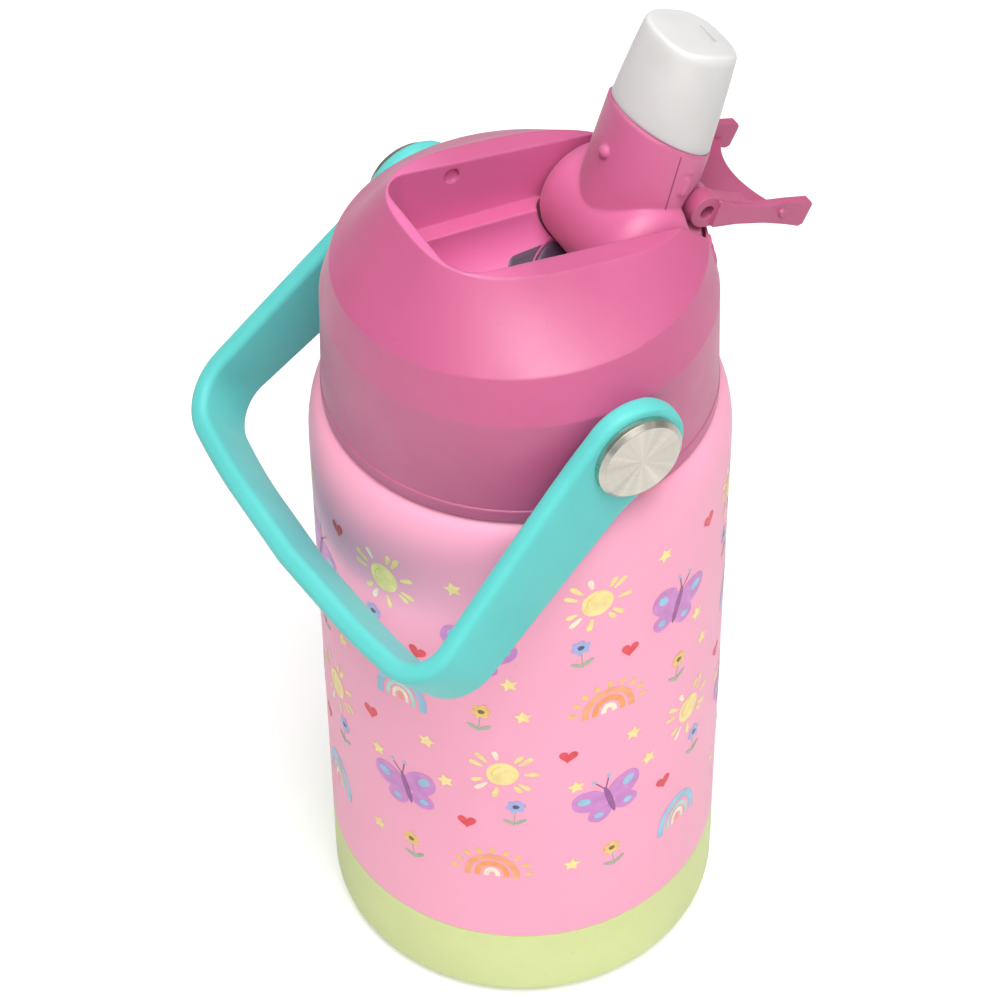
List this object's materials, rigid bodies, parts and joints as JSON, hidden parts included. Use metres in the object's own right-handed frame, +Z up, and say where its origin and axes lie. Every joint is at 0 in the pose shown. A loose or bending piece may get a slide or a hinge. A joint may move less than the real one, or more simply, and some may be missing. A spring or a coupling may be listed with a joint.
{
  "type": "kids water bottle",
  "caption": "Insulated steel kids bottle with a silicone boot, screw lid, folding spout with hinged cover, straw and swinging carry handle.",
  "frame": {"origin": "centre of the resting face under the boot", "axes": "+Z up along the bottle, spout leans toward +Y and folds toward -Y, handle axis along X"},
  "size_m": [0.083, 0.0972, 0.1933],
  "materials": {
    "body_coat": "satin powder coat with a printed pattern",
    "bare_steel": "electropolished inside, brushed neck",
    "getter_metal": "sintered metal puck",
    "solder_glass": "fused bead",
    "boot_silicone": "matte silicone",
    "seal_silicone": "soft seal",
    "lid_plastic": "satin moulded plastic",
    "liner_plastic": "natural moulded plastic",
    "dark_silicone": "dark soft seal",
    "straw_plastic": "translucent",
    "pin_steel": "turned pins",
    "rivet_steel": "spun face, polished chamfer",
    "mouth_silicone": "frosted translucent silicone",
    "handle_rubber": "soft touch"
  },
  "bodies": {
    "bottle": {"outer_shell": "body_coat", "inner_vessel": "bare_steel", "base_cup": "bare_steel", "vacuum_getter": "getter_metal", "vacuum_plug": "solder_glass", "base_boot": "boot_silicone"},
    "lid_seal": {"lid_gasket": "seal_silicone"},
    "lid": {"lid_shell": "lid_plastic", "lid_liner": "liner_plastic", "vent_valve": "seal_silicone", "spout_seal": "dark_silicone", "straw_socket": "liner_plastic", "straw": "straw_plastic", "spout_pivot_pins": "pin_steel", "handle_bushings": "liner_plastic", "handle_rivets": "rivet_steel", "rivet_washers": "pin_steel"},
    "spout": {"spout_barrel": "lid_plastic", "mouthpiece": "mouth_silicone", "cover_hinge_pins": "pin_steel"},
    "cover": {"spout_cover": "lid_plastic"},
    "handle": {"carry_handle": "handle_rubber", "handle_eyelets": "liner_plastic"}
  },
  "joints": [
    {"name": "lid_lift", "type": "slide", "parent": "bottle", "child": "lid_seal", "axis": [0, 0, 1], "range_m": [0, 0.00438]},
    {"name": "lid_turn", "type": "hinge", "parent": "lid_seal", "child": "lid", "pos_m": [0, 0, 0.13], "axis": [0, 0, 1], "range_deg": [0, 450]},
    {"name": "spout_flip", "type": "hinge", "parent": "lid", "child": "spout", "pos_m": [0, 0.0195, 0.1551], "axis": [1, 0, 0], "range_deg": [0, 108.5]},
    {"name": "cover_flip", "type": "hinge", "parent": "spout", "child": "cover", "pos_m": [0, 0.029, 0.162], "axis": [1, 0, 0], "range_deg": [0, 78.5]},
    {"name": "handle_swing", "type": "hinge", "parent": "lid", "child": "handle", "pos_m": [0, 0, 0.1435], "axis": [1, 0, 0], "range_deg": [-130.8, 0.6]}
  ],
  "couplings": [
    {"joint": "lid_lift", "follows": "lid_turn", "m_per_rad": 0.00055704}
  ]
}
